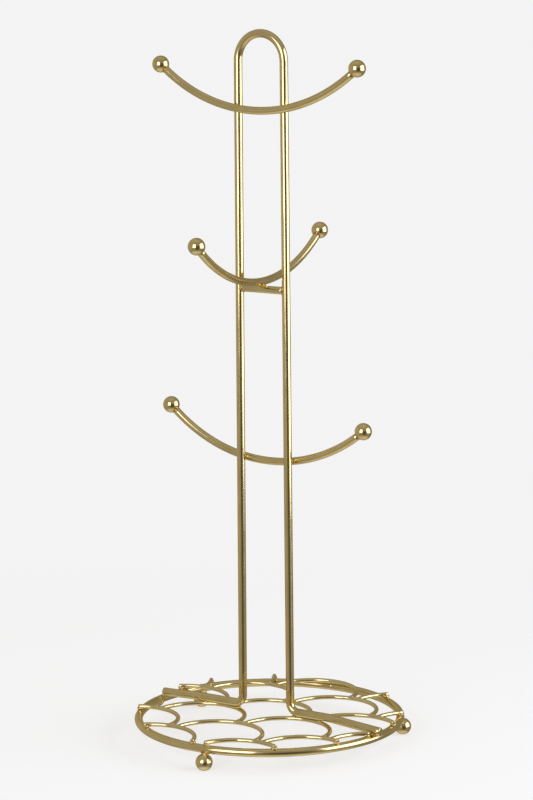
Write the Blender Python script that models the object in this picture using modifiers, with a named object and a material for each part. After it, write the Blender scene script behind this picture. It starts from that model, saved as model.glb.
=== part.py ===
"""Mug tree: a welded steel-wire stand that holds six mugs on three curved arms.

Frame: origin on the table under the centre of the base ring, +X along the plane of
the two posts, +Y to the back, +Z up. Sizes are in metres, angles in degrees.
"""

import math

import bpy

# ---- Driving dimensions -----------------------------------------------------------

GAP = 0.0002                 # clearance left at every welded contact

FRAME_WIRE_R = 0.0025        # 5 mm wire: posts, carrying loop, feet of the posts, ring
ARM_WIRE_R = 0.0023          # 4.6 mm wire: arms and crossbar
SCALE_WIRE_R = 0.0013        # 2.6 mm wire: fish-scale mesh of the base
BALL_R = 0.0051              # balls on the arm ends and under the ring
BALL_FLAT = 0.00025          # depth of the small flat that each foot ball stands on

RING_R = 0.080               # centreline radius of the base ring
FOOT_BALL_R = 0.0817         # radius of the circle that the foot balls stand on
FOOT_BALL_ANGLES = (35.6, 155.6, 275.6)

FRAME_X = 0.0033             # the upright stands a little to the right of the
FRAME_Y = -0.0081            # ring's centre and in front of it
POST_HALF_SPAN_LOW = 0.0173  # the posts lean in slightly towards the top
POST_HALF_SPAN_TOP = 0.0162
LOOP_TOP_Z = 0.4283          # centreline of the carrying loop at its highest point
FOOT_BEND_R = 0.0055         # bend between a post and its foot
FOOT_FLAT = 0.044            # a foot is level up to here from the upright's middle
FOOT_END_LEFT = -0.0735      # where the feet end
FOOT_END_RIGHT = 0.0850
FOOT_DROP_LEFT = 0.0010      # how far the left foot slopes down over the scales
FOOT_CLEAR = 0.060           # scale wires further out are cut short of the foot

ARM_ARC_R = 0.1056           # centreline radius of an arm's arc
ARM_HALF_CHORD = 0.0694      # half the distance between an arm's balls
TOP_ARM_Z = 0.3833           # lowest point of each arm's centreline
CROSSBAR_Z = 0.2770
BOTTOM_ARM_Z = 0.1724
TOP_ARM_SLIDE = 0.0007       # each arm was welded a little off its middle
MIDDLE_ARM_SLIDE = -0.0033
BOTTOM_ARM_SLIDE = -0.0031
MIDDLE_ARM_TURN = 2.3        # and the middle one is a little out of square

SCALE_PITCH = 0.0624         # from one scale to the next in a row
SCALE_ROW_PITCH = 0.0278     # from one row of scales to the next
SCALE_ROW_DRIFT = -0.0015    # sideways creep of each row towards the back
SCALE_ARC_R = 0.0283         # centreline radius of one scale
SCALE_START = (-0.0290, -0.0060)  # crown of the scale that the pattern is laid from
SCALE_TURN = -1.1            # the mesh lies a little askew on the ring
SCALE_ROWS = range(-4, 4)
SCALE_PLACES = range(-3, 4)
SCALE_TRIM_R = 0.0820        # the scale wires are cut off over the ring
SCALE_END_GAP = 0.0003       # between a scale's cut end and the wire it butts against
SCALE_MIN_LENGTH = 0.010     # shorter offcuts aren't used

# ---- Fineness ----------------------------------------------------------------------

RING_SEGMENTS = 64
RING_SIDES = 10
BEND_SEGMENTS = 7
LOOP_SEGMENTS = 20
ARM_SEGMENTS = 24
SCALE_STEPS = 90             # steps that a scale is trimmed in
SCALE_KEEP = 5               # every fifth of them is kept
WIRE_SIDES_RES = 3           # bevel resolution of the thick wires: 10 sides
SCALE_SIDES_RES = 2          # bevel resolution of the scale wires: 8 sides
BALL_STEPS = 18
BALL_RINGS = 9
MERGE_DISTANCE = 0.00001

# ---- Finishes: base colour and roughness -------------------------------------------

FRAME_PLATING = ((0.53, 0.42, 0.22), 0.28)
ARM_PLATING = ((0.55, 0.44, 0.23), 0.26)
SCALE_PLATING = ((0.53, 0.43, 0.23), 0.30)
BALL_PLATING = ((0.58, 0.47, 0.26), 0.20)

# ---- Heights that follow from the stack of welded wires ---------------------------

FOOT_REACH = BALL_R + FRAME_WIRE_R + GAP
FOOT_BALL_Z = BALL_R - BALL_FLAT
RING_Z = FOOT_BALL_Z + math.sqrt(FOOT_REACH ** 2 - (FOOT_BALL_R - RING_R) ** 2)
SCALE_Z = RING_Z + FRAME_WIRE_R + GAP + SCALE_WIRE_R
FOOT_Z = SCALE_Z + SCALE_WIRE_R + GAP + FRAME_WIRE_R
FOOT_END_Z = RING_Z + 2 * FRAME_WIRE_R + GAP
MIDDLE_ARM_Z = CROSSBAR_Z + 2 * ARM_WIRE_R + GAP
ARM_OFFSET_Y = FRAME_WIRE_R + ARM_WIRE_R + GAP

OBJECT_NAME = "mug_tree"


# ---- Scene helpers ----------------------------------------------------------------

def clear_scene():
    """Remove the objects that a new file starts with."""
    for item in list(bpy.data.objects):
        bpy.data.objects.remove(item, do_unlink=True)


def make_collection(name):
    """Make a collection under the scene's own."""
    collection = bpy.data.collections.new(name)
    bpy.context.scene.collection.children.link(collection)
    return collection


def make_plating(name, finish):
    """Make one plated-metal material."""
    colour, roughness = finish
    material = bpy.data.materials.new(name)
    material.use_nodes = True
    shader = material.node_tree.nodes["Principled BSDF"]
    shader.inputs["Base Color"].default_value = (*colour, 1.0)
    shader.inputs["Metallic"].default_value = 1.0
    shader.inputs["Roughness"].default_value = roughness
    return material


def make_wire(collection, name, points, radius, material, sides_res=WIRE_SIDES_RES):
    """Make a round wire with flat ends along a list of points."""
    curve = bpy.data.curves.new(name, "CURVE")
    curve.dimensions = "3D"
    curve.bevel_depth = radius
    curve.bevel_resolution = sides_res
    curve.use_fill_caps = True
    spline = curve.splines.new("POLY")
    spline.points.add(len(points) - 1)
    for point, place in zip(spline.points, points):
        point.co = (*place, 1.0)
    curve.materials.append(material)
    wire = bpy.data.objects.new(name, curve)
    collection.objects.link(wire)
    return wire


def make_ball(collection, name, centre, material, flat_depth=0.0):
    """Make a turned ball, with a flat cut under it when flat_depth is given."""
    bottom = -BALL_R + flat_depth
    lowest_angle = math.asin(bottom / BALL_R)
    profile = []
    for step in range(BALL_RINGS + 1):
        angle = math.pi / 2 + (lowest_angle - math.pi / 2) * step / BALL_RINGS
        profile.append((BALL_R * math.cos(angle), 0.0, BALL_R * math.sin(angle)))
    profile[0] = (0.0, 0.0, BALL_R)
    if flat_depth > 0.0:
        profile.append((0.0, 0.0, bottom))
    else:
        profile[-1] = (0.0, 0.0, bottom)

    mesh = bpy.data.meshes.new(name)
    edges = [(i, i + 1) for i in range(len(profile) - 1)]
    mesh.from_pydata(profile, edges, [])
    mesh.materials.append(material)
    ball = bpy.data.objects.new(name, mesh)
    ball.location = centre
    collection.objects.link(ball)
    turn = ball.modifiers.new("turn", "SCREW")
    turn.steps = BALL_STEPS
    turn.render_steps = BALL_STEPS
    turn.use_merge_vertices = True
    turn.merge_threshold = MERGE_DISTANCE
    turn.use_smooth_shade = True
    return ball


def arc_points(centre, radius, start_deg, end_deg, segments):
    """Points of an arc in a plane, as (across, up) pairs."""
    points = []
    for step in range(segments + 1):
        angle = math.radians(start_deg + (end_deg - start_deg) * step / segments)
        across = centre[0] + radius * math.cos(angle)
        up = centre[1] + radius * math.sin(angle)
        points.append((across, up))
    return points


# ---- Upright ----------------------------------------------------------------------

def post_half_span(z):
    """Half the distance between the posts' centrelines at a height."""
    loop_centre_z = LOOP_TOP_Z - POST_HALF_SPAN_TOP
    share = (z - FOOT_Z) / (loop_centre_z - FOOT_Z)
    return POST_HALF_SPAN_LOW + (POST_HALF_SPAN_TOP - POST_HALF_SPAN_LOW) * share


def foot_points(end, slope):
    """One foot from its cut end to the bend: (distance from the middle, height)."""
    drop = slope * (end - FOOT_FLAT)
    return [(end, FOOT_Z - drop), (FOOT_FLAT, FOOT_Z)]


def make_upright(collection, material):
    """Bend one wire into both feet, both posts and the carrying loop."""
    bend_centre = (POST_HALF_SPAN_LOW + FOOT_BEND_R, FOOT_Z + FOOT_BEND_R)
    bend = arc_points(bend_centre, FOOT_BEND_R, 270.0, 180.0, BEND_SEGMENTS)
    loop_centre = (0.0, LOOP_TOP_Z - POST_HALF_SPAN_TOP)
    loop = arc_points(loop_centre, POST_HALF_SPAN_TOP, 0.0, 180.0, LOOP_SEGMENTS)

    over_ring = math.sqrt(RING_R ** 2 - FRAME_Y ** 2) - FRAME_X
    right_slope = (FOOT_Z - FOOT_END_Z) / (over_ring - FOOT_FLAT)
    right = foot_points(FOOT_END_RIGHT - FRAME_X, right_slope) + bend
    left_reach = FRAME_X - FOOT_END_LEFT
    left_slope = FOOT_DROP_LEFT / (left_reach - FOOT_FLAT)
    left = foot_points(left_reach, left_slope) + bend
    left = [(-x, z) for x, z in reversed(left)]
    path = [(FRAME_X + x, FRAME_Y, z) for x, z in right + loop + left]
    return make_wire(collection, "upright_loop", path, FRAME_WIRE_R, material)


def make_crossbar(collection, material):
    """Make the short bar between the posts that carries the middle arm."""
    reach = post_half_span(CROSSBAR_Z) - FRAME_WIRE_R - GAP
    ends = [(FRAME_X + side * reach, FRAME_Y, CROSSBAR_Z) for side in (-1, 1)]
    return make_wire(collection, "middle_crossbar", ends, ARM_WIRE_R, material)


# ---- Arms -------------------------------------------------------------------------

def make_arm(collection, name, ball_names, middle, turn, slide, materials):
    """Make an arm that curves up to a ball at each end.

    middle is the lowest point of its arc, turn the angle of the arm from the plane of
    the posts, and slide how far the arm was moved along its own curve.
    """
    half_angle = math.asin(ARM_HALF_CHORD / ARM_ARC_R)
    wire_half_angle = half_angle - (BALL_R + GAP) / ARM_ARC_R
    heading = (math.cos(math.radians(turn)), math.sin(math.radians(turn)))
    wire_material, ball_material = materials

    def on_arc(angle):
        moved = angle + slide / ARM_ARC_R
        along = ARM_ARC_R * math.sin(moved)
        rise = ARM_ARC_R * (1.0 - math.cos(moved))
        return (middle[0] + along * heading[0], middle[1] + along * heading[1],
                middle[2] + rise)

    path = []
    for step in range(ARM_SEGMENTS + 1):
        path.append(on_arc(wire_half_angle * (2.0 * step / ARM_SEGMENTS - 1.0)))
    make_wire(collection, name, path, ARM_WIRE_R, wire_material)
    for ball_name, side in zip(ball_names, (-1, 1)):
        make_ball(collection, ball_name, on_arc(side * half_angle), ball_material)


def make_arms(collection, wire_material, ball_material):
    """Make the three arms: top in front of the posts, bottom behind, middle between."""
    materials = (wire_material, ball_material)
    make_arm(collection, "top_arm", ("top_ball_left", "top_ball_right"),
             (FRAME_X, FRAME_Y - ARM_OFFSET_Y, TOP_ARM_Z), 0.0, TOP_ARM_SLIDE, materials)
    make_arm(collection, "middle_arm", ("middle_ball_front", "middle_ball_back"),
             (FRAME_X, FRAME_Y, MIDDLE_ARM_Z), 90.0 + MIDDLE_ARM_TURN,
             MIDDLE_ARM_SLIDE, materials)
    make_arm(collection, "bottom_arm", ("bottom_ball_left", "bottom_ball_right"),
             (FRAME_X, FRAME_Y + ARM_OFFSET_Y, BOTTOM_ARM_Z), 0.0,
             BOTTOM_ARM_SLIDE, materials)


# ---- Base -------------------------------------------------------------------------

def make_base_ring(collection, material):
    """Make the ring that the foot balls carry."""
    bpy.ops.mesh.primitive_torus_add(
        major_radius=RING_R, minor_radius=FRAME_WIRE_R, location=(0.0, 0.0, RING_Z),
        major_segments=RING_SEGMENTS, minor_segments=RING_SIDES)
    ring = bpy.context.object
    ring.name = "base_ring"
    for home in list(ring.users_collection):
        home.objects.unlink(ring)
    collection.objects.link(ring)
    ring.data.materials.append(material)
    ring.data.shade_smooth()
    return ring


def make_foot_balls(collection, material):
    """Make the three balls that the ring stands on."""
    for number, angle_deg in enumerate(FOOT_BALL_ANGLES, start=1):
        angle = math.radians(angle_deg)
        centre = (FOOT_BALL_R * math.cos(angle), FOOT_BALL_R * math.sin(angle),
                  FOOT_BALL_Z)
        make_ball(collection, f"foot_ball_{number}", centre, material, BALL_FLAT)


def turned_on_ring(point):
    """A point of the mesh, turned with the mesh about the ring's centre."""
    cosine = math.cos(math.radians(SCALE_TURN))
    sine = math.sin(math.radians(SCALE_TURN))
    return (point[0] * cosine - point[1] * sine, point[0] * sine + point[1] * cosine)


def scale_arc(crown):
    """One fish scale: an arc whose ends stop against the crowns of the row in front."""
    drop = SCALE_ARC_R - SCALE_ROW_PITCH + SCALE_WIRE_R + SCALE_END_GAP
    lowest = math.degrees(math.asin(drop / SCALE_ARC_R))
    centre = (crown[0], crown[1] - SCALE_ARC_R)
    points = arc_points(centre, SCALE_ARC_R, lowest, 180.0 - lowest, SCALE_STEPS)
    return [turned_on_ring(point) for point in points]


def inside_base(point):
    """True where a scale wire lies over the ring or inside it, clear of the feet."""
    if math.hypot(*point) > SCALE_TRIM_R:
        return False
    clearance = SCALE_WIRE_R + GAP
    beside_foot = abs(point[1] - FRAME_Y) < FRAME_WIRE_R + clearance
    along_foot = FOOT_END_LEFT - clearance < point[0] < FOOT_END_RIGHT + clearance
    far_out = abs(point[0] - FRAME_X) > FOOT_CLEAR
    return not (beside_foot and along_foot and far_out)


def trimmed_runs(points):
    """Cut an arc off at the ring and give back the lengths that remain."""
    runs = []
    run = []
    for point in points + [None]:
        if point is not None and inside_base(point):
            run.append(point)
            continue
        length = sum(math.dist(a, b) for a, b in zip(run, run[1:]))
        if length > SCALE_MIN_LENGTH:
            runs.append(run)
        run = []
    return runs


def scale_crowns():
    """Places of all the scales' crowns, row by row from the front."""
    crowns = []
    for row in SCALE_ROWS:
        stagger = SCALE_PITCH / 2 if row % 2 else 0.0
        for place in SCALE_PLACES:
            x = SCALE_START[0] + SCALE_PITCH * place + stagger + SCALE_ROW_DRIFT * row
            crowns.append((x, SCALE_START[1] + SCALE_ROW_PITCH * row))
    return crowns


def make_scales(collection, material):
    """Lay the fish-scale mesh on the ring."""
    runs = []
    for crown in scale_crowns():
        runs += trimmed_runs(scale_arc(crown))
    for number, run in enumerate(runs, start=1):
        kept = run[:-1:SCALE_KEEP] + [run[-1]]
        path = [(x, y, SCALE_Z) for x, y in kept]
        make_wire(collection, f"scale_wire_{number:02d}", path, SCALE_WIRE_R,
                  material, SCALE_SIDES_RES)


# ---- Whole object -----------------------------------------------------------------

def main():
    """Build the mug tree."""
    clear_scene()
    collection = make_collection(OBJECT_NAME)
    frame_plating = make_plating("frame_plating", FRAME_PLATING)
    arm_plating = make_plating("arm_plating", ARM_PLATING)
    scale_plating = make_plating("scale_plating", SCALE_PLATING)
    ball_plating = make_plating("ball_plating", BALL_PLATING)
    make_upright(collection, frame_plating)
    make_base_ring(collection, frame_plating)
    make_crossbar(collection, arm_plating)
    make_arms(collection, arm_plating, ball_plating)
    make_foot_balls(collection, ball_plating)
    make_scales(collection, scale_plating)


main()
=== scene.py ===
"""Looks of the mug tree: plated wires, balls, welds, studio and camera."""
import math

import bmesh
import bpy
from mathutils import Matrix, Vector, noise


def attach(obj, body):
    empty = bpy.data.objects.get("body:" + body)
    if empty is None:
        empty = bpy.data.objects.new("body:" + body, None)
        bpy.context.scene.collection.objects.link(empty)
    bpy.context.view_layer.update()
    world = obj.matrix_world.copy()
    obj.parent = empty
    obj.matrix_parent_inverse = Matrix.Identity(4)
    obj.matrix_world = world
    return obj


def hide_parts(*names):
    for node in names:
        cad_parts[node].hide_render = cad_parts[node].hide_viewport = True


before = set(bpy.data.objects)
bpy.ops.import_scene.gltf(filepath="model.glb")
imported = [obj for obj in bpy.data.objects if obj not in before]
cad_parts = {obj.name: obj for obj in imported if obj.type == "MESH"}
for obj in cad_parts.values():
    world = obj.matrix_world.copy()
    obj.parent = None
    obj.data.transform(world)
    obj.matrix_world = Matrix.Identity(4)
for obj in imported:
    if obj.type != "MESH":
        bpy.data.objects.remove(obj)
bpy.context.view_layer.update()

# ---- Sizes repeated from the part's source, in metres --------------------------------

FRAME_WIRE_R = 0.0025
ARM_WIRE_R = 0.0023
SCALE_WIRE_R = 0.0013
BALL_R = 0.0051
BALL_FLAT = 0.00025
GAP = 0.0002

RING_R = 0.080
FOOT_BALL_R = 0.0817
FOOT_BALL_ANGLES = (35.6, 155.6, 275.6)

FRAME_X = 0.0033
FRAME_Y = -0.0081
POST_HALF_SPAN_LOW = 0.0173
POST_HALF_SPAN_TOP = 0.0162
LOOP_TOP_Z = 0.4283
FOOT_BEND_R = 0.0055
FOOT_FLAT = 0.044
FOOT_END_LEFT = -0.0735
FOOT_END_RIGHT = 0.0850
FOOT_DROP_LEFT = 0.0010
FOOT_CLEAR = 0.060

ARM_ARC_R = 0.1056
ARM_HALF_CHORD = 0.0694
TOP_ARM_Z = 0.3833
CROSSBAR_Z = 0.2770
BOTTOM_ARM_Z = 0.1724
TOP_ARM_SLIDE = 0.0007
MIDDLE_ARM_SLIDE = -0.0033
BOTTOM_ARM_SLIDE = -0.0031
MIDDLE_ARM_TURN = 2.3

SCALE_PITCH = 0.0624
SCALE_ROW_PITCH = 0.0278
SCALE_ROW_DRIFT = -0.0015
SCALE_ARC_R = 0.0283
SCALE_START = (-0.0290, -0.0060)
SCALE_TURN = -1.1
SCALE_ROWS = range(-4, 4)
SCALE_PLACES = range(-3, 4)
SCALE_TRIM_R = 0.0820
SCALE_MIN_LENGTH = 0.010

FOOT_REACH = BALL_R + FRAME_WIRE_R + GAP
FOOT_BALL_Z = BALL_R - BALL_FLAT
RING_Z = FOOT_BALL_Z + math.sqrt(FOOT_REACH ** 2 - (FOOT_BALL_R - RING_R) ** 2)
SCALE_Z = RING_Z + FRAME_WIRE_R + GAP + SCALE_WIRE_R
FOOT_Z = SCALE_Z + SCALE_WIRE_R + GAP + FRAME_WIRE_R
FOOT_END_Z = RING_Z + 2 * FRAME_WIRE_R + GAP
MIDDLE_ARM_Z = CROSSBAR_Z + 2 * ARM_WIRE_R + GAP
ARM_OFFSET_Y = FRAME_WIRE_R + ARM_WIRE_R + GAP

SADDLE = (FRAME_X, FRAME_Y, CROSSBAR_Z + ARM_WIRE_R)   # middle arm on the crossbar

UP = Vector((0.0, 0.0, 1.0))
ACROSS = Vector((1.0, 0.0, 0.0))
BACK = Vector((0.0, 1.0, 0.0))

# ---- Fineness ------------------------------------------------------------------------

THICK_SIDES = 20
THIN_SIDES = 14
BEND_STEPS = 12
LOOP_STEPS = 48
FOOT_STEPS = 24
POST_STEPS = 60
ARM_STEPS = 48
RING_STEPS = 144
SCALE_STEPS = 90
SCALE_KEEP_EVERY = 2
BALL_STEPS = 40
BALL_RINGS = 24
CROSSBAR_STEPS = 12
BEAD_SUBDIVISIONS = 3

# ---- Fine shapes that the part leaves out, in metres ---------------------------------

CUT_CHAMFER = 0.0004         # broken edge of a cut wire end
RING_SEAM_DEG = 93.3         # where the ring's ends are welded together
RING_SEAM_WIDTH = 0.0012
RING_SEAM_SWELL = 0.00015
RING_SEAM_GROOVE = 0.00050   # fine line left between the two ends
RING_SEAM_GROOVE_WIDTH = 0.00040
RING_SEAM_PLACES = (-0.0024, -0.0012, -0.0006, -0.0003, 0.0,
                    0.0003, 0.0006, 0.0012, 0.0024)
ARM_END_STEP = 0.01          # radians back from an arm's end, to find its direction
BALL_SOCKET = 0.0012         # how far an arm's end runs into its ball
NECK_HALF_ANGLE_DEG = 28.0   # from a ball's axis to the edge of its socket
BALL_TIP_DEG = 89.0          # a ball's profile stops just short of its axis
FOOT_FLAT_INNER_R = 0.0008   # inner rim of the flat under a foot ball
# Joint line inside an arm's ball: (depth past the lip, gap to the arm's radius).
JOINT_LINE = ((0.0012, 0.0003), (0.0003, 0.0001))
JOINT_LIP = (0.0001, 0.00022)        # its rounded lip: (along, inwards)

# Half sizes of the weld beads along their three axes.
CROSSING_BEAD = (0.0021, 0.0009, 0.0021)
BUTT_BEAD = (0.0011, 0.00265, 0.0027)
SADDLE_BEAD = (0.0021, 0.0021, 0.0009)
UNDER_FOOT_BEAD = (0.0019, 0.0018, 0.0007)
FOOT_BALL_BEAD = (0.0020, 0.0026, 0.0010)
RIM_BEAD = (0.0019, 0.0019, 0.0011)
SCALE_BEAD = (0.0012, 0.0018, 0.00125)
RIM_BEAD_SHIFT = 0.0012      # back along the wire from its cut end
RIM_BEAD_DROP = 0.0010       # down to the ring
BEAD_SWELL = 0.22            # unevenness of a bead, as a share of its size
BEAD_LUMPS = 1.6             # lumps across a bead
BEAD_SEED_STEP = (3.1, 1.7, 0.9)
SADDLE_SEED = 31             # each group of beads starts at its own seed
FOOT_SEED = 40
FOOT_BALL_SEED = 60
SCALE_SEED = 80

# ---- Studio settings -----------------------------------------------------------------

CAMERA_AZIMUTH = 0.5934      # radians, turned from the front towards the right
CAMERA_DISTANCE = 1.800
CAMERA_HEIGHT = 0.5158
CAMERA_PITCH = 0.1682
CAMERA_YAW = 0.0009
CAMERA_ROLL = -0.0087
SENSOR_WIDTH = 36.0          # millimetres, like the lens
LENS = 137.314
CLIP_START = 0.05
CLIP_END = 50.0

BACKDROP_WHITE = 0.90
# Grey of the surroundings from straight below to straight above: (place 0 to 1, grey).
SURROUND_GREYS = ((0.0, 0.85), (0.085, 0.64), (0.122, 0.58), (0.134, 0.32), (0.50, 0.38),
                  (0.79, 0.34), (0.955, 0.45), (1.0, 0.54))
# Sides of the surroundings that differ: (degrees from the camera's side, degrees up),
# then (how nearly a direction faces that side, share of the grey) from far to near.
CAMERA_SIDE = ((14.0, -10.0), ((0.82, 1.0), (0.95, 0.30)))    # dark around the camera
DIM_SIDE = ((140.0, 0.0), ((0.50, 1.0), (0.85, 0.85)))        # behind on the right
BRIGHT_SIDE = ((-115.0, 0.0), ((0.30, 1.0), (0.80, 1.28)))    # on the left
SOFTBOX_DISTANCE = 1.7
SOFTBOX_COLOUR = (0.84, 0.93, 1.20)
# Softboxes: (degrees from the camera's side, height, (width, height of the box), watts).
LEFT_SOFTBOX = (-31.0, 0.72, (1.10, 1.35), 15.0)
RIGHT_SOFTBOX = (74.0, 0.66, (1.80, 1.68), 30.0)
FLOOR_COLOUR = (0.50, 0.48, 0.43, 1.0)
FLOOR_ROUGHNESS = 0.9
FLOOR_GLOW = 0.58
FLOOR_RADIUS = 6.0
FLOOR_SIDES = 96
FLOOR_NEAR = 0.15                    # lit floor up to here, then into the backdrop
FLOOR_FAR = 0.60

# ---- Plating -------------------------------------------------------------------------

GOLD_LIGHT = (0.75, 0.575, 0.250)
GOLD_DARK = (0.65, 0.495, 0.210)
EDGE_TINT = (0.96, 0.86, 0.62, 1.0)   # keeps the plating gold at glancing angles
NO_PAINTED_SHEEN = (1.0, 1.0, 1.0)
SCALE_PAINTED_SHEEN = (1.08, 1.12, 1.18)       # painted sheen: the thin scale wires get a paler gold that stands in for the brighter reflections they show
# Finishes: (roughness, strength of the fine peel).
FRAME_FINISH = (0.13, 0.008)
ARM_FINISH = (0.16, 0.008)
SCALE_FINISH = (0.13, 0.008)
BALL_FINISH = (0.09, 0.05)
WELD_FINISH = (0.34, 0.20)
# Noise textures: (scale, detail).
MOTTLE_NOISE = (90.0, 5.0)
HEAT_NOISE = (420.0, 3.0)
STREAK_NOISE = (1.0, 2.0)
PEEL_NOISE = (1500.0, 2.0)
NOISE_LOW, NOISE_HIGH = 0.30, 0.70    # most of a noise texture lies between these
STREAK_SCALE = (60.0, 14.0, 1.0)      # along the wire and around it
SMOOTHER, ROUGHER = -0.04, 0.05       # roughness along the streaks
PEEL_DEPTH = 0.0001

HEAT_TINT = (0.42, 0.17, 0.04, 1.0)
HEAT_LEAST, HEAT_MOST = 0.35, 0.95    # strength of the heat tint
HEAT_DULLING = 0.12                   # roughness added where the tint is full
HEAT_REACH = 0.004                    # how far the tint reaches from a weld
ARM_HEAT_REACH = 0.003
RING_HEAT_REACH = 0.0028
SCALE_HEAT_REACH = 0.0025
SCALE_BEAD_HEAT_REACH = 0.003
BALL_HEAT_REACH = 0.0022
FOOT_BALL_HEAT_REACH = 0.0042


# ---- Studio --------------------------------------------------------------------------

def studio_place(azimuth_deg, elevation_deg, distance, height):
    """A place around the object, with azimuth counted from the camera's side."""
    turn = CAMERA_AZIMUTH + math.radians(azimuth_deg)
    rise = math.radians(elevation_deg)
    flat = distance * math.cos(rise)
    return Vector((flat * math.sin(turn), -flat * math.cos(turn),
                   height + distance * math.sin(rise)))


def add_camera():
    """Put the camera at the reference view."""
    data = bpy.data.cameras.new("camera")
    data.sensor_fit = "AUTO"
    data.sensor_width = SENSOR_WIDTH
    data.lens = LENS
    data.clip_start = CLIP_START
    data.clip_end = CLIP_END
    camera = bpy.data.objects.new("camera", data)
    place = Vector((FRAME_X + CAMERA_DISTANCE * math.sin(CAMERA_AZIMUTH),
                    FRAME_Y - CAMERA_DISTANCE * math.cos(CAMERA_AZIMUTH),
                    CAMERA_HEIGHT))
    look = Matrix.Rotation(CAMERA_AZIMUTH - CAMERA_YAW, 4, "Z")
    tip = Matrix.Rotation(math.pi / 2 - CAMERA_PITCH, 4, "X")
    roll = Matrix.Rotation(CAMERA_ROLL, 4, "Z")
    camera.matrix_world = Matrix.Translation(place) @ look @ tip @ roll
    bpy.context.scene.collection.objects.link(camera)
    bpy.context.scene.camera = camera


def add_softbox(name, azimuth_deg, height, size, power):
    """Add one upright soft light that faces the middle of the object."""
    data = bpy.data.lights.new(name, "AREA")
    data.shape = "RECTANGLE"
    data.size, data.size_y = size
    data.energy = power
    data.color = SOFTBOX_COLOUR
    lamp = bpy.data.objects.new(name, data)
    lamp.location = studio_place(azimuth_deg, 0.0, SOFTBOX_DISTANCE, height)
    aim = Vector((-lamp.location.x, -lamp.location.y, 0.0))
    lamp.rotation_euler = aim.to_track_quat("-Z", "Y").to_euler()
    lamp.visible_camera = False
    bpy.context.scene.collection.objects.link(lamp)


def facing_ramp(tree, direction, place, stops):
    """A grey that depends on the angle between a direction and a place in the studio."""
    facing = tree.nodes.new("ShaderNodeVectorMath")
    facing.operation = "DOT_PRODUCT"
    facing.inputs[1].default_value = studio_place(*place, 1.0, 0.0)
    tree.links.new(direction, facing.inputs[0])
    return grey_ramp(tree, facing.outputs["Value"], stops)


def grey_ramp(tree, value, stops):
    """A colour ramp through greys: (position, grey)."""
    ramp = tree.nodes.new("ShaderNodeValToRGB")
    elements = ramp.color_ramp.elements
    while len(elements) < len(stops):
        elements.new(0.5)
    for element, (position, grey) in zip(elements, stops):
        element.position = position
        element.color = (grey, grey, grey, 1.0)
    tree.links.new(value, ramp.inputs["Fac"])
    return ramp.outputs["Color"]


def multiplied(tree, first, second):
    """Two colours multiplied together."""
    product = tree.nodes.new("ShaderNodeVectorMath")
    product.operation = "MULTIPLY"
    tree.links.new(first, product.inputs[0])
    tree.links.new(second, product.inputs[1])
    return product.outputs["Vector"]


def add_world():
    """Off-white behind the object, and a grey studio that shows only in reflections."""
    world = bpy.data.worlds.new("studio")
    bpy.context.scene.world = world
    world.use_nodes = True
    tree = world.node_tree
    nodes, links = tree.nodes, tree.links
    nodes.clear()
    out = nodes.new("ShaderNodeOutputWorld")
    walls = nodes.new("ShaderNodeBackground")
    backdrop = nodes.new("ShaderNodeBackground")
    backdrop.inputs["Color"].default_value = (1.0, 1.0, 1.0, 1.0)
    backdrop.inputs["Strength"].default_value = BACKDROP_WHITE
    choose = nodes.new("ShaderNodeMixShader")
    path = nodes.new("ShaderNodeLightPath")
    coords = nodes.new("ShaderNodeTexCoord")
    direction = coords.outputs["Generated"]
    height = nodes.new("ShaderNodeSeparateXYZ")
    links.new(direction, height.inputs["Vector"])
    share = nodes.new("ShaderNodeMath")
    share.operation = "MULTIPLY_ADD"
    share.inputs[1].default_value = 0.5
    share.inputs[2].default_value = 0.5
    links.new(height.outputs["Z"], share.inputs[0])
    greys = grey_ramp(tree, share.outputs["Value"], SURROUND_GREYS)
    for place, stops in (CAMERA_SIDE, DIM_SIDE, BRIGHT_SIDE):
        greys = multiplied(tree, greys, facing_ramp(tree, direction, place, stops))
    links.new(greys, walls.inputs["Color"])
    links.new(path.outputs["Is Camera Ray"], choose.inputs["Fac"])
    links.new(walls.outputs[0], choose.inputs[1])
    links.new(backdrop.outputs[0], choose.inputs[2])
    links.new(choose.outputs[0], out.inputs["Surface"])


def add_floor():
    """Add the plain pale floor, which passes into the backdrop away from the object."""
    bpy.ops.mesh.primitive_circle_add(vertices=FLOOR_SIDES, radius=FLOOR_RADIUS,
                                      fill_type="NGON")
    floor = bpy.context.object
    floor.name = "floor"
    paint = bpy.data.materials.new("floor")
    paint.use_nodes = True
    tree = paint.node_tree
    nodes, links = tree.nodes, tree.links
    shader = nodes["Principled BSDF"]
    shader.inputs["Base Color"].default_value = FLOOR_COLOUR
    shader.inputs["Roughness"].default_value = FLOOR_ROUGHNESS
    shader.inputs["Specular IOR Level"].default_value = 0.0
    shader.inputs["Emission Color"].default_value = (1.0, 1.0, 1.0, 1.0)
    shader.inputs["Emission Strength"].default_value = FLOOR_GLOW
    sweep = nodes.new("ShaderNodeEmission")
    sweep.inputs["Strength"].default_value = BACKDROP_WHITE
    coords = nodes.new("ShaderNodeTexCoord")
    reach = nodes.new("ShaderNodeVectorMath")
    reach.operation = "LENGTH"
    links.new(coords.outputs["Object"], reach.inputs[0])
    share = nodes.new("ShaderNodeMapRange")
    share.interpolation_type = "SMOOTHSTEP"
    share.inputs["From Min"].default_value = FLOOR_NEAR
    share.inputs["From Max"].default_value = FLOOR_FAR
    links.new(reach.outputs["Value"], share.inputs["Value"])
    blend = nodes.new("ShaderNodeMixShader")
    links.new(share.outputs["Result"], blend.inputs["Fac"])
    links.new(shader.outputs["BSDF"], blend.inputs[1])
    links.new(sweep.outputs["Emission"], blend.inputs[2])
    links.new(blend.outputs["Shader"], nodes["Material Output"].inputs["Surface"])
    floor.data.materials.append(paint)
    floor.visible_glossy = False
    floor.visible_shadow = False


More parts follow.
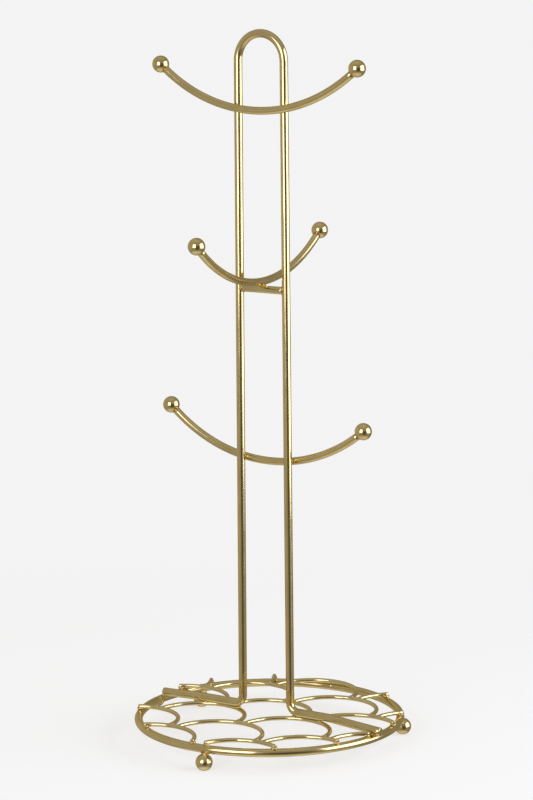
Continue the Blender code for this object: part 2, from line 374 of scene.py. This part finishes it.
def add_studio():
    """Pale floor, grey surroundings and soft lights."""
    bpy.context.scene.view_settings.view_transform = "Standard"
    add_world()
    add_softbox("softbox_left", *LEFT_SOFTBOX)
    add_softbox("softbox_right", *RIGHT_SOFTBOX)
    add_floor()


# ---- Materials -----------------------------------------------------------------------

def noise_of(tree, vector, kind):
    """Add a noise texture fed by a vector; its kind is (scale, detail)."""
    scale, detail = kind
    texture = tree.nodes.new("ShaderNodeTexNoise")
    texture.inputs["Scale"].default_value = scale
    texture.inputs["Detail"].default_value = detail
    tree.links.new(vector, texture.inputs["Vector"])
    return texture.outputs["Fac"]


def stretched(tree, value, low, high):
    """Bring a noise value into a range."""
    spread = tree.nodes.new("ShaderNodeMapRange")
    spread.inputs["From Min"].default_value = NOISE_LOW
    spread.inputs["From Max"].default_value = NOISE_HIGH
    spread.inputs["To Min"].default_value = low
    spread.inputs["To Max"].default_value = high
    tree.links.new(value, spread.inputs["Value"])
    return spread.outputs["Result"]


def make_plating(name, roughness, peel_strength, painted_sheen=NO_PAINTED_SHEEN):
    """Champagne-gold plating: mottled tone, drawn streaks, fine peel and heat tint, and
    a painted sheen that can brighten the gold.
    """
    material = bpy.data.materials.new(name)
    material.use_nodes = True
    tree = material.node_tree
    nodes, links = tree.nodes, tree.links
    shader = nodes["Principled BSDF"]
    shader.inputs["Metallic"].default_value = 1.0
    shader.inputs["Specular Tint"].default_value = EDGE_TINT
    coords = nodes.new("ShaderNodeTexCoord")
    place = coords.outputs["Object"]

    tone = nodes.new("ShaderNodeMix")
    tone.data_type = "RGBA"
    # painted sheen: the gold is brightened here to stand in for brighter reflections
    for socket, gold in (("A", GOLD_DARK), ("B", GOLD_LIGHT)):
        gold_with_sheen = [share * sheen_factor for share, sheen_factor in zip(gold, painted_sheen)]
        tone.inputs[socket].default_value = (*gold_with_sheen, 1.0)
    mottle = stretched(tree, noise_of(tree, place, MOTTLE_NOISE), 0.0, 1.0)
    links.new(mottle, tone.inputs["Factor"])

    heat = nodes.new("ShaderNodeAttribute")
    heat.attribute_name = "heat"
    burn = nodes.new("ShaderNodeMath")
    burn.operation = "MULTIPLY"
    links.new(heat.outputs["Fac"], burn.inputs[0])
    patches = noise_of(tree, place, HEAT_NOISE)
    links.new(stretched(tree, patches, HEAT_LEAST, HEAT_MOST), burn.inputs[1])
    tint = nodes.new("ShaderNodeMix")
    tint.data_type = "RGBA"
    tint.inputs["B"].default_value = HEAT_TINT
    links.new(burn.outputs["Value"], tint.inputs["Factor"])
    links.new(tone.outputs["Result"], tint.inputs["A"])
    links.new(tint.outputs["Result"], shader.inputs["Base Color"])

    along = nodes.new("ShaderNodeMapping")
    along.inputs["Scale"].default_value = STREAK_SCALE
    links.new(coords.outputs["UV"], along.inputs["Vector"])
    streaks = noise_of(tree, along.outputs["Vector"], STREAK_NOISE)
    dull = nodes.new("ShaderNodeMath")
    dull.operation = "MULTIPLY_ADD"
    dull.inputs[1].default_value = HEAT_DULLING
    links.new(burn.outputs["Value"], dull.inputs[0])
    links.new(stretched(tree, streaks, roughness + SMOOTHER, roughness + ROUGHER),
              dull.inputs[2])
    links.new(dull.outputs["Value"], shader.inputs["Roughness"])

    bump = nodes.new("ShaderNodeBump")
    bump.inputs["Strength"].default_value = peel_strength
    bump.inputs["Distance"].default_value = PEEL_DEPTH
    links.new(noise_of(tree, place, PEEL_NOISE), bump.inputs["Height"])
    links.new(bump.outputs["Normal"], shader.inputs["Normal"])
    return material


# ---- Mesh helpers --------------------------------------------------------------------

def arc(centre, radius, start_deg, end_deg, steps):
    """Points of an arc in a plane, as (across, up) pairs."""
    points = []
    for step in range(steps + 1):
        angle = math.radians(start_deg + (end_deg - start_deg) * step / steps)
        points.append((centre[0] + radius * math.cos(angle),
                       centre[1] + radius * math.sin(angle)))
    return points


def tangents_of(path, closed):
    """Direction of travel at each point of a path."""
    directions = []
    last = len(path) - 1
    for i, point in enumerate(path):
        before = path[i - 1] if i or closed else point
        after = path[(i + 1) % len(path)] if i < last or closed else point
        directions.append((after - before).normalized())
    return directions


def skin(shape, rims, lengths, closed):
    """Join neighbouring rims of vertices into a tube with a UV map."""
    layer = shape.loops.layers.uv.new("UVMap")
    count, sides = len(rims), len(rims[0])
    for i in range(count if closed else count - 1):
        here, there = rims[i], rims[(i + 1) % count]
        for k in range(sides):
            n = (k + 1) % sides
            face = shape.faces.new((here[k], there[k], there[n], here[n]))
            face.smooth = True
            corners = ((i, k), (i + 1, k), (i + 1, k + 1), (i, k + 1))
            for loop, (row, column) in zip(face.loops, corners):
                loop[layer].uv = (lengths[row], column / sides)


def swept(path, radii, sides, closed=False):
    """Sweep a circle along a path."""
    path = [Vector(point) for point in path]
    directions = tangents_of(path, closed)
    normal = directions[0].cross(UP)
    shape = bmesh.new()
    rims = []
    lengths = [0.0]
    for i, (point, direction) in enumerate(zip(path, directions)):
        normal = (normal - direction * normal.dot(direction)).normalized()
        side = direction.cross(normal)
        rim = []
        for k in range(sides):
            angle = 2.0 * math.pi * k / sides
            offset = normal * math.cos(angle) + side * math.sin(angle)
            rim.append(shape.verts.new(point + offset * radii[i]))
        rims.append(rim)
        following = path[(i + 1) % len(path)]
        lengths.append(lengths[-1] + (following - point).length)
    skin(shape, rims, lengths, closed)
    if not closed:
        shape.faces.new(rims[0])
        shape.faces.new(list(reversed(rims[-1])))
    bmesh.ops.recalc_face_normals(shape, faces=shape.faces)
    return shape


def cut_wire(path, radius, sides):
    """Sweep a wire whose cut ends have a broken edge."""
    path = [Vector(point) for point in path]
    first = path[0] + (path[1] - path[0]).normalized() * CUT_CHAMFER
    last = path[-1] + (path[-2] - path[-1]).normalized() * CUT_CHAMFER
    path = [path[0], first] + path[1:-1] + [last, path[-1]]
    radii = [radius - CUT_CHAMFER] + [radius] * (len(path) - 2) + [radius - CUT_CHAMFER]
    return swept(path, radii, sides)


def turned(centre, axis, profile, steps):
    """Turn a profile of (along the axis, radius) pairs around an axis."""
    centre = Vector(centre)
    axis = Vector(axis).normalized()
    normal = axis.orthogonal().normalized()
    side = axis.cross(normal)
    shape = bmesh.new()
    rims = []
    lengths = []
    for along, radius in profile:
        rim = []
        for k in range(steps):
            angle = 2.0 * math.pi * k / steps
            offset = normal * math.cos(angle) + side * math.sin(angle)
            rim.append(shape.verts.new(centre + axis * along + offset * radius))
        rims.append(rim)
        lengths.append(along)
    skin(shape, rims, lengths, False)
    for rim in (rims[0], list(reversed(rims[-1]))):
        shape.faces.new(rim).smooth = True
    bmesh.ops.recalc_face_normals(shape, faces=shape.faces)
    return shape


def store_heat(mesh, welds, reach):
    """Store how near each vertex is to a weld, for the heat tint."""
    heat = mesh.attributes.new("heat", "FLOAT", "POINT")
    for vertex in mesh.vertices:
        amount = 0.0
        for weld in welds:
            distance = (vertex.co - Vector(weld)).length / reach
            amount = max(amount, math.exp(-distance * distance))
        heat.data[vertex.index].value = amount


def add_piece(name, shape, material, welds, reach=HEAT_REACH):
    """Turn a bmesh into a piece that rides on the stand."""
    mesh = bpy.data.meshes.new(name)
    shape.to_mesh(mesh)
    shape.free()
    mesh.materials.append(material)
    store_heat(mesh, welds, reach)
    piece = bpy.data.objects.new(name, mesh)
    bpy.context.scene.collection.objects.link(piece)
    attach(piece, "root")
    return piece


def add_bead(shape, centre, axes, radii, seed):
    """Add one uneven weld bead to a mesh of beads."""
    made = bmesh.ops.create_icosphere(shape, subdivisions=BEAD_SUBDIVISIONS, radius=1.0)
    offset = Vector([seed * step for step in BEAD_SEED_STEP])
    for vertex in made["verts"]:
        place = vertex.co.copy()
        swell = 1.0 + BEAD_SWELL * noise.noise(place * BEAD_LUMPS + offset)
        spot = Vector(centre)
        for axis, radius, amount in zip(axes, radii, place):
            spot += axis.normalized() * (radius * amount * swell)
        vertex.co = spot
    for face in shape.faces:
        face.smooth = True


# ---- Upright -------------------------------------------------------------------------

def post_half_span(z):
    """Half the distance between the posts' centrelines at a height."""
    loop_centre_z = LOOP_TOP_Z - POST_HALF_SPAN_TOP
    share = (z - FOOT_Z) / (loop_centre_z - FOOT_Z)
    return POST_HALF_SPAN_LOW + (POST_HALF_SPAN_TOP - POST_HALF_SPAN_LOW) * share


def foot_points(end, slope):
    """One foot from its cut end to the bend: (distance from the middle, height)."""
    points = []
    for step in range(FOOT_STEPS + 1):
        x = end + (POST_HALF_SPAN_LOW + FOOT_BEND_R - end) * step / (FOOT_STEPS + 1)
        points.append((x, FOOT_Z - slope * max(0.0, x - FOOT_FLAT)))
    return points


def foot_slopes():
    """Slopes of the left and the right foot beyond their level part."""
    over_ring = math.sqrt(RING_R ** 2 - FRAME_Y ** 2) - FRAME_X
    right = (FOOT_Z - FOOT_END_Z) / (over_ring - FOOT_FLAT)
    left = FOOT_DROP_LEFT / (FRAME_X - FOOT_END_LEFT - FOOT_FLAT)
    return left, right


def upright_path():
    """Centreline of both feet, both posts and the carrying loop."""
    left_slope, right_slope = foot_slopes()
    bend_centre = (POST_HALF_SPAN_LOW + FOOT_BEND_R, FOOT_Z + FOOT_BEND_R)
    bend = arc(bend_centre, FOOT_BEND_R, 270.0, 180.0, BEND_STEPS)
    loop_centre = (0.0, LOOP_TOP_Z - POST_HALF_SPAN_TOP)
    bend_top = FOOT_Z + FOOT_BEND_R
    post = []
    for step in range(1, POST_STEPS):
        z = bend_top + (loop_centre[1] - bend_top) * step / POST_STEPS
        post.append((post_half_span(z), z))
    loop = arc(loop_centre, POST_HALF_SPAN_TOP, 0.0, 180.0, LOOP_STEPS)
    right = foot_points(FOOT_END_RIGHT - FRAME_X, right_slope) + bend + post
    left = foot_points(FRAME_X - FOOT_END_LEFT, left_slope) + bend + post
    left = [(-x, z) for x, z in reversed(left)]
    return [(FRAME_X + x, FRAME_Y, z) for x, z in right + loop + left]


def arm_rise(x):
    """Height of an arm's centreline over its lowest point, at a distance from it."""
    return ARM_ARC_R - math.sqrt(ARM_ARC_R ** 2 - x ** 2)


def post_welds():
    """Where the arms and the crossbar are welded to the posts: (place, bead's size)."""
    welds = []
    for arm_z, face in ((TOP_ARM_Z, -1), (BOTTOM_ARM_Z, 1)):
        for side in (-1, 1):
            x = side * post_half_span(arm_z)
            place = (FRAME_X + x, FRAME_Y + face * FRAME_WIRE_R, arm_z + arm_rise(x))
            welds.append((place, CROSSING_BEAD))
    for side in (-1, 1):
        x = side * (post_half_span(CROSSBAR_Z) - FRAME_WIRE_R)
        welds.append(((FRAME_X + x, FRAME_Y, CROSSBAR_Z), BUTT_BEAD))
    return welds


def foot_welds(runs):
    """Where the feet lie on the ring and on the scale wires."""
    over_ring = math.sqrt(RING_R ** 2 - FRAME_Y ** 2)
    places = [(over_ring, FRAME_Y, RING_Z + FRAME_WIRE_R)]
    for run in runs:
        for (x0, y0), (x1, y1) in zip(run, run[1:]):
            if (y0 - FRAME_Y) * (y1 - FRAME_Y) > 0.0 or y0 == y1:
                continue
            x = x0 + (x1 - x0) * (FRAME_Y - y0) / (y1 - y0)
            from_middle = abs(x - FRAME_X)
            under_foot = FOOT_END_LEFT < x < FOOT_END_RIGHT
            if under_foot and from_middle > POST_HALF_SPAN_LOW:
                places.append((x, FRAME_Y, SCALE_Z + SCALE_WIRE_R))
    return places


# ---- Base ----------------------------------------------------------------------------

def ring_place(angle):
    """The point of the ring's centreline at an angle."""
    return (RING_R * math.cos(angle), RING_R * math.sin(angle), RING_Z)


def turned_on_ring(point):
    """A point of the mesh, turned with the mesh about the ring's centre."""
    cosine = math.cos(math.radians(SCALE_TURN))
    sine = math.sin(math.radians(SCALE_TURN))
    return (point[0] * cosine - point[1] * sine, point[0] * sine + point[1] * cosine)


def scale_arc(crown):
    """Centreline of one fish scale, down to the crowns of the row in front."""
    drop = SCALE_ARC_R - SCALE_ROW_PITCH + SCALE_WIRE_R
    lowest = math.degrees(math.asin(drop / SCALE_ARC_R))
    centre = (crown[0], crown[1] - SCALE_ARC_R)
    points = arc(centre, SCALE_ARC_R, lowest, 180.0 - lowest, SCALE_STEPS)
    return [turned_on_ring(point) for point in points]


def inside_base(point):
    """True where a scale wire lies over the ring or inside it, clear of the feet."""
    if math.hypot(*point) > SCALE_TRIM_R:
        return False
    clearance = SCALE_WIRE_R + GAP
    beside_foot = abs(point[1] - FRAME_Y) < FRAME_WIRE_R + clearance
    along_foot = FOOT_END_LEFT - clearance < point[0] < FOOT_END_RIGHT + clearance
    far_out = abs(point[0] - FRAME_X) > FOOT_CLEAR
    return not (beside_foot and along_foot and far_out)


def trimmed_runs(points):
    """Cut an arc off at the ring and give back the lengths that remain."""
    runs = []
    run = []
    for point in points + [None]:
        if point is not None and inside_base(point):
            run.append(point)
            continue
        length = sum(math.dist(a, b) for a, b in zip(run, run[1:]))
        if length > SCALE_MIN_LENGTH:
            runs.append(run)
        run = []
    return runs


def scale_runs():
    """Centrelines of all the scale wires, in the order of the part's nodes."""
    runs = []
    for row in SCALE_ROWS:
        stagger = SCALE_PITCH / 2 if row % 2 else 0.0
        for place in SCALE_PLACES:
            x = SCALE_START[0] + SCALE_PITCH * place + stagger + SCALE_ROW_DRIFT * row
            y = SCALE_START[1] + SCALE_ROW_PITCH * row
            runs += trimmed_runs(scale_arc((x, y)))
    return runs


# ---- Pieces --------------------------------------------------------------------------

def make_upright(material, welds):
    """The bent wire: both feet, both posts and the carrying loop."""
    shape = cut_wire(upright_path(), FRAME_WIRE_R, THICK_SIDES)
    piece = add_piece("bent_upright", shape, material, welds)
    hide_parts("upright_loop")


def ring_angles():
    """Angles around the ring, closer together at the seam."""
    seam = math.radians(RING_SEAM_DEG)
    clear = 1.5 * RING_SEAM_PLACES[-1] / RING_R
    angles = [2.0 * math.pi * step / RING_STEPS for step in range(RING_STEPS)]
    angles = [angle for angle in angles if abs(angle - seam) > clear]
    angles += [seam + place / RING_R for place in RING_SEAM_PLACES]
    return sorted(angles)


def make_ring(material, welds):
    """The base ring, with a low swelling and a fine line where its ends are welded."""
    path = []
    radii = []
    seam = math.radians(RING_SEAM_DEG)
    for angle in ring_angles():
        path.append(ring_place(angle))
        off = (angle - seam) * RING_R
        swell = RING_SEAM_SWELL * math.exp(-(off / RING_SEAM_WIDTH) ** 2)
        groove = RING_SEAM_GROOVE * math.exp(-(off / RING_SEAM_GROOVE_WIDTH) ** 2)
        radii.append(FRAME_WIRE_R + swell - groove)
    shape = swept(path, radii, THICK_SIDES, closed=True)
    piece = add_piece("welded_ring", shape, material,
                      welds + [ring_place(seam)], RING_HEAT_REACH)
    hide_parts("base_ring")


def make_crossbar(material, welds):
    """The short bar between the posts, run into the posts at both ends."""
    reach = post_half_span(CROSSBAR_Z) - FRAME_WIRE_R / 2
    half = CROSSBAR_STEPS // 2
    path = [(FRAME_X + reach * step / half, FRAME_Y, CROSSBAR_Z)
            for step in range(-half, half + 1)]
    shape = swept(path, [ARM_WIRE_R] * len(path), THICK_SIDES)
    piece = add_piece("welded_crossbar", shape, material, welds)
    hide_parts("middle_crossbar")


def make_arm(name, nodes, middle, turn, slide, materials, welds):
    """One curved arm and the balls on its ends, each with its own joint line."""
    half_angle = math.asin(ARM_HALF_CHORD / ARM_ARC_R)
    heading = Vector((math.cos(math.radians(turn)), math.sin(math.radians(turn)), 0.0))
    wire_material, ball_material = materials

    def on_arc(angle):
        moved = angle + slide / ARM_ARC_R
        rise = ARM_ARC_R * (1.0 - math.cos(moved))
        return Vector(middle) + heading * (ARM_ARC_R * math.sin(moved)) + UP * rise

    end_angle = half_angle - (BALL_R - BALL_SOCKET) / ARM_ARC_R
    path = []
    for step in range(ARM_STEPS + 1):
        path.append(on_arc(end_angle * (2.0 * step / ARM_STEPS - 1.0)))
    necks = [on_arc(side * (half_angle - BALL_R / ARM_ARC_R)) for side in (-1, 1)]
    shape = swept(path, [ARM_WIRE_R] * len(path), THICK_SIDES)
    arm_node, *ball_nodes = nodes
    piece = add_piece(name, shape, wire_material, welds + necks,
                      ARM_HEAT_REACH)
    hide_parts(arm_node)

    for ball_node, side, neck in zip(ball_nodes, (-1, 1), necks):
        centre = on_arc(side * half_angle)
        outward = centre - on_arc(side * (half_angle - ARM_END_STEP))
        ball = turned(centre, outward, arm_ball_profile(), BALL_STEPS)
        piece = add_piece("turned_" + ball_node, ball, ball_material,
                          [neck], BALL_HEAT_REACH)
        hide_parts(ball_node)


def ball_profile(start_deg):
    """Profile of a ball from an angle below its middle up to its tip."""
    profile = []
    for step in range(BALL_RINGS + 1):
        angle = math.radians(start_deg + (BALL_TIP_DEG - start_deg) * step / BALL_RINGS)
        profile.append((BALL_R * math.sin(angle), BALL_R * math.cos(angle)))
    return profile


def arm_ball_profile():
    """Profile of an arm's ball from its neck outwards, with a fine joint line."""
    profile = ball_profile(NECK_HALF_ANGLE_DEG - 90.0)
    lip_along, lip_radius = profile[0]
    inner = [(lip_along + depth, ARM_WIRE_R - gap) for depth, gap in JOINT_LINE]
    inner.append((lip_along - JOINT_LIP[0], lip_radius - JOINT_LIP[1]))
    return inner + profile


def foot_ball_profile():
    """Profile of a foot ball from its flat upwards."""
    bottom = -BALL_R + BALL_FLAT
    start_deg = math.degrees(math.asin(bottom / BALL_R))
    return [(bottom, FOOT_FLAT_INNER_R)] + ball_profile(start_deg)


def make_foot_balls(material):
    """The three balls that the ring stands on."""
    for number, angle_deg in enumerate(FOOT_BALL_ANGLES, start=1):
        angle = math.radians(angle_deg)
        centre = (FOOT_BALL_R * math.cos(angle), FOOT_BALL_R * math.sin(angle),
                  FOOT_BALL_Z)
        shape = turned(centre, UP, foot_ball_profile(), BALL_STEPS)
        piece = add_piece(f"standing_ball_{number}", shape, material,
                          [ring_place(angle)], FOOT_BALL_HEAT_REACH)
        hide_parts(f"foot_ball_{number}")


def make_scales(material, runs, welds):
    """The fish-scale wires."""
    for number, run in enumerate(runs, start=1):
        kept = run[::SCALE_KEEP_EVERY]
        if kept[-1] != run[-1]:
            kept.append(run[-1])
        path = [(x, y, SCALE_Z) for x, y in kept]
        shape = cut_wire(path, SCALE_WIRE_R, THIN_SIDES)
        piece = add_piece(f"fish_scale_{number:02d}", shape, material,
                          welds, SCALE_HEAT_REACH)
        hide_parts(f"scale_wire_{number:02d}")


# ---- Weld beads ----------------------------------------------------------------------

def make_post_beads(material, welds):
    """Beads where the arms and the crossbar meet the posts and each other."""
    shape = bmesh.new()
    for seed, (place, radii) in enumerate(welds):
        add_bead(shape, place, (ACROSS, BACK, UP), radii, seed)
    add_bead(shape, SADDLE, (ACROSS, BACK, UP), SADDLE_BEAD, SADDLE_SEED)
    add_piece("post_weld_beads", shape, material,
              [place for place, _ in welds] + [SADDLE])


def make_foot_beads(material, places):
    """Beads under the feet, over the scale wires and the ring."""
    shape = bmesh.new()
    for seed, place in enumerate(places):
        add_bead(shape, place, (ACROSS, BACK, UP), UNDER_FOOT_BEAD, FOOT_SEED + seed)
    add_piece("foot_weld_beads", shape, material, places)


def make_ball_beads(material):
    """Fillets between the ring and the balls under it."""
    shape = bmesh.new()
    places = []
    share = BALL_R / FOOT_REACH
    radius = FOOT_BALL_R + (RING_R - FOOT_BALL_R) * share
    z = FOOT_BALL_Z + (RING_Z - FOOT_BALL_Z) * share
    for seed, angle_deg in enumerate(FOOT_BALL_ANGLES):
        angle = math.radians(angle_deg)
        outward = Vector((math.cos(angle), math.sin(angle), 0.0))
        place = (radius * outward[0], radius * outward[1], z)
        add_bead(shape, place, (outward, UP.cross(outward), UP), FOOT_BALL_BEAD,
                 FOOT_BALL_SEED + seed)
        places.append(place)
    add_piece("ball_weld_beads", shape, material, places)


def scale_joints(runs):
    """Ends of the scale wires: (place, direction along the wire)."""
    joints = []
    for run in runs:
        for end, inner in ((run[0], run[2]), (run[-1], run[-3])):
            direction = Vector((end[0] - inner[0], end[1] - inner[1], 0.0))
            joints.append((end, direction.normalized()))
    return joints


def make_scale_beads(material, joints):
    """Beads where the scale wires butt against each other and lie on the ring."""
    shape = bmesh.new()
    places = []
    for seed, (end, direction) in enumerate(joints):
        place = Vector((*end, SCALE_Z))
        radii = SCALE_BEAD
        if math.hypot(*end) > RING_R - FRAME_WIRE_R:
            place -= direction * RIM_BEAD_SHIFT + UP * RIM_BEAD_DROP
            radii = RIM_BEAD
        add_bead(shape, place, (direction, direction.cross(UP), UP), radii,
                 SCALE_SEED + seed)
        places.append(place)
    add_piece("scale_weld_beads", shape, material, places,
              SCALE_BEAD_HEAT_REACH)


# ---- Whole object --------------------------------------------------------------------

def main():
    """Dress the stand, light it and aim the camera."""
    add_camera()
    add_studio()
    frame_gold = make_plating("frame_gold", *FRAME_FINISH)
    arm_gold = make_plating("arm_gold", *ARM_FINISH)
    # the scale wires take a brighter copy of the gold, a painted sheen
    scale_gold_painted_sheen = make_plating("scale_gold_painted_sheen", *SCALE_FINISH, SCALE_PAINTED_SHEEN)
    ball_gold = make_plating("ball_gold", *BALL_FINISH)
    weld_gold = make_plating("weld_gold", *WELD_FINISH)

    runs = scale_runs()
    on_posts = post_welds()
    on_feet = foot_welds(runs)
    joints = scale_joints(runs)
    ball_places = [ring_place(math.radians(angle)) for angle in FOOT_BALL_ANGLES]
    joint_places = [(*end, SCALE_Z) for end, _ in joints]
    post_places = [place for place, _ in on_posts]

    make_upright(frame_gold, post_places + on_feet)
    make_ring(frame_gold, ball_places + on_feet[:1])
    make_crossbar(arm_gold, post_places + [SADDLE])
    arm_materials = (arm_gold, ball_gold)
    make_arm("curved_arm_top", ("top_arm", "top_ball_left", "top_ball_right"),
             (FRAME_X, FRAME_Y - ARM_OFFSET_Y, TOP_ARM_Z), 0.0, TOP_ARM_SLIDE,
             arm_materials, post_places)
    make_arm("curved_arm_middle",
             ("middle_arm", "middle_ball_front", "middle_ball_back"),
             (FRAME_X, FRAME_Y, MIDDLE_ARM_Z), 90.0 + MIDDLE_ARM_TURN,
             MIDDLE_ARM_SLIDE, arm_materials, [SADDLE])
    make_arm("curved_arm_bottom",
             ("bottom_arm", "bottom_ball_left", "bottom_ball_right"),
             (FRAME_X, FRAME_Y + ARM_OFFSET_Y, BOTTOM_ARM_Z), 0.0, BOTTOM_ARM_SLIDE,
             arm_materials, post_places)
    make_foot_balls(ball_gold)
    make_scales(scale_gold_painted_sheen, runs, joint_places + on_feet)
    make_post_beads(weld_gold, on_posts)
    make_foot_beads(weld_gold, on_feet)
    make_ball_beads(weld_gold)
    make_scale_beads(weld_gold, joints)


main()
